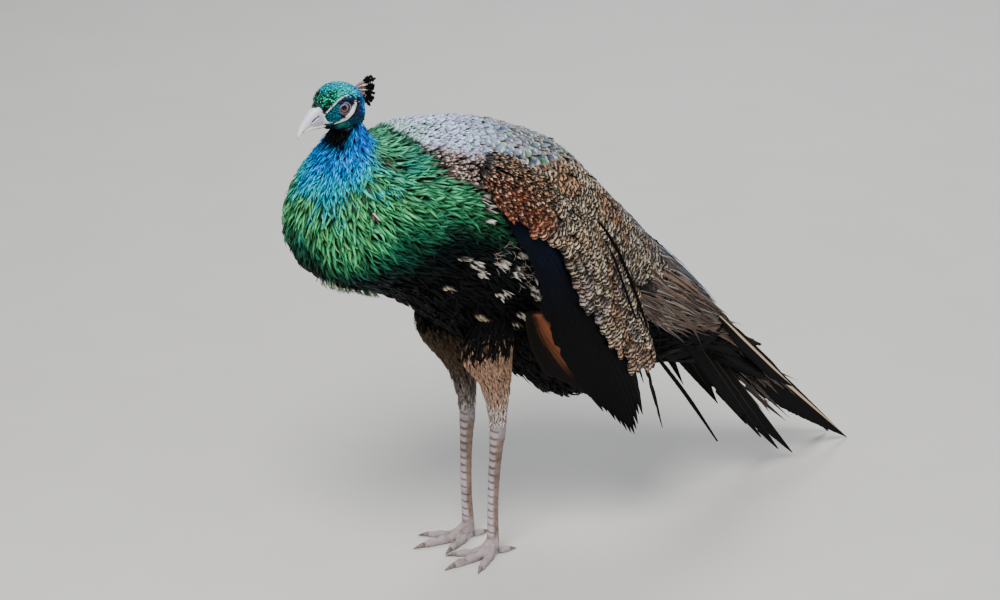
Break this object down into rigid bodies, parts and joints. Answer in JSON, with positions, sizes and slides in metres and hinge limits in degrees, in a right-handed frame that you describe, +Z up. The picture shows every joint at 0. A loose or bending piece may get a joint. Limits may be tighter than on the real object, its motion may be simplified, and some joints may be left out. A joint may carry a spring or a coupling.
{
  "type": "peacock",
  "caption": "Life-size young male Indian peafowl standing hunched, blue and green foreparts, barred wings, tips of the tail on the floor.",
  "frame": {"origin": "on the floor under the middle of the whole bird", "axes": "+Z up, the bird faces -Y, its left side is +X"},
  "size_m": [0.2852, 0.858, 0.6359],
  "materials": {
    "head_feathers": "small metallic scale-like feathers",
    "neck_feathers": "glossy narrow feathers",
    "breast_feathers": "glossy pointed feathers",
    "back_feathers": "scaly feathers with pale edges",
    "train_feathers": "mottled loose feathers",
    "crest_feathers": "bare shafts with dark ragged tips",
    "thigh_feathers": "short matt feathers",
    "wing_coverts": "barred feathers",
    "wing_secondaries": "black vanes with a blue sheen",
    "wing_primaries": "rufous vanes",
    "tail_feathers": "dark vanes with pale shafts",
    "bill": "pale horn",
    "eyes": "wet, brown iris",
    "leg_skin": "scaly skin",
    "claws": "dark horn"
  },
  "bodies": {
    "root": {"head": "head_feathers", "bill_upper": "bill", "bill_lower": "bill", "eye_left": "eyes", "eye_right": "eyes", "crest": "crest_feathers", "neck": "neck_feathers", "breast": "breast_feathers", "trunk": "back_feathers", "rump": "back_feathers", "train": "train_feathers", "thigh_left": "thigh_feathers", "thigh_right": "thigh_feathers", "shank_left": "leg_skin", "shank_right": "leg_skin", "foot_left": "leg_skin", "foot_right": "leg_skin", "claw_inner_left": "claws", "claw_middle_left": "claws", "claw_outer_left": "claws", "claw_hind_left": "claws", "claw_inner_right": "claws", "claw_middle_right": "claws", "claw_outer_right": "claws", "claw_hind_right": "claws", "wing_left_coverts": "wing_coverts", "wing_right_coverts": "wing_coverts", "wing_left_secondaries": "wing_secondaries", "wing_right_secondaries": "wing_secondaries", "wing_left_primaries": "wing_primaries", "wing_right_primaries": "wing_primaries", "tail_left_1": "tail_feathers", "tail_left_2": "tail_feathers", "tail_left_3": "tail_feathers", "tail_left_4": "tail_feathers", "tail_left_5": "tail_feathers", "tail_right_1": "tail_feathers", "tail_right_2": "tail_feathers", "tail_right_3": "tail_feathers", "tail_right_4": "tail_feathers", "tail_right_5": "tail_feathers"}
  },
  "joints": []
}
